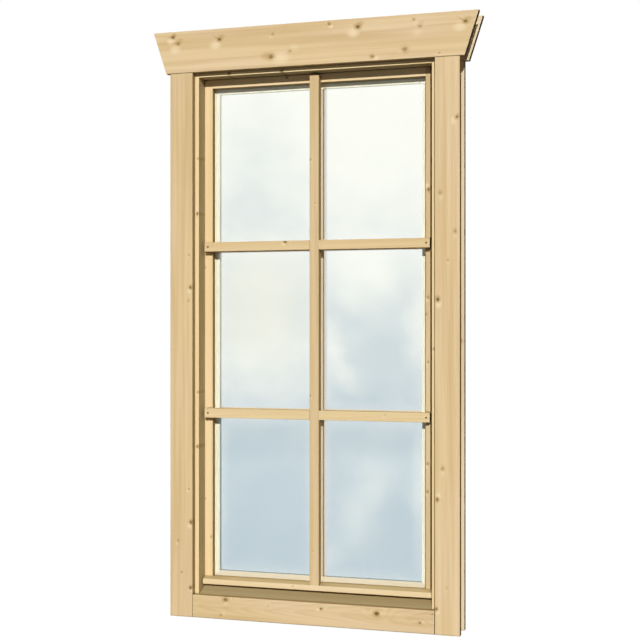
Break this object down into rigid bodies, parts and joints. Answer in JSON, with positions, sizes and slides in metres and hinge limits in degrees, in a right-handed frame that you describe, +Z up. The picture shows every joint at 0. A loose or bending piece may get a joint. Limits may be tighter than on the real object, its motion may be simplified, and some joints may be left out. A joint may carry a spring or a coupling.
{
  "type": "wooden window",
  "caption": "Timber casement window for a log wall: flared head casing outside and inside, fixed frame, glazed sash with crossing glazing bars, drip rail and sloped sill.",
  "frame": {"origin": "centre of the underside of the frame's sill, where the frame stands on the wall's opening", "axes": "+Z up, +X to the right seen from outside, +Y through the wall towards the room; the outside faces -Y"},
  "size_m": [0.7752, 0.116, 1.3774],
  "materials": {
    "casing_spruce": "planed, untreated",
    "frame_spruce": "planed, untreated",
    "sash_spruce": "planed, untreated",
    "clear_glass": "clear float glass",
    "hinge_steel": "zinc plated",
    "handle_aluminium": "satin anodised"
  },
  "bodies": {
    "root": {"outer_head_board": "casing_spruce", "outer_left_board": "casing_spruce", "outer_right_board": "casing_spruce", "outer_bottom_board": "casing_spruce", "inner_head_board": "casing_spruce", "inner_left_board": "casing_spruce", "inner_right_board": "casing_spruce", "inner_bottom_board": "casing_spruce", "frame_left_jamb": "frame_spruce", "frame_right_jamb": "frame_spruce", "frame_head": "frame_spruce", "frame_sill": "frame_spruce", "sash_left_stile": "sash_spruce", "sash_right_stile": "sash_spruce", "sash_top_rail": "sash_spruce", "sash_bottom_rail": "sash_spruce", "drip_rail": "sash_spruce", "glass_pane": "clear_glass", "bottom_bead": "sash_spruce", "right_bead": "sash_spruce", "top_bead": "sash_spruce", "left_bead": "sash_spruce", "outer_upright_bar": "sash_spruce", "outer_lower_bar": "sash_spruce", "outer_upper_bar": "sash_spruce", "inner_upright_bar": "sash_spruce", "inner_lower_bar": "sash_spruce", "inner_upper_bar": "sash_spruce", "lower_hinge_casing_leaf": "hinge_steel", "lower_hinge_sash_leaf": "hinge_steel", "upper_hinge_casing_leaf": "hinge_steel", "upper_hinge_sash_leaf": "hinge_steel", "handle_rose": "handle_aluminium", "handle_lever": "handle_aluminium"}
  },
  "joints": []
}
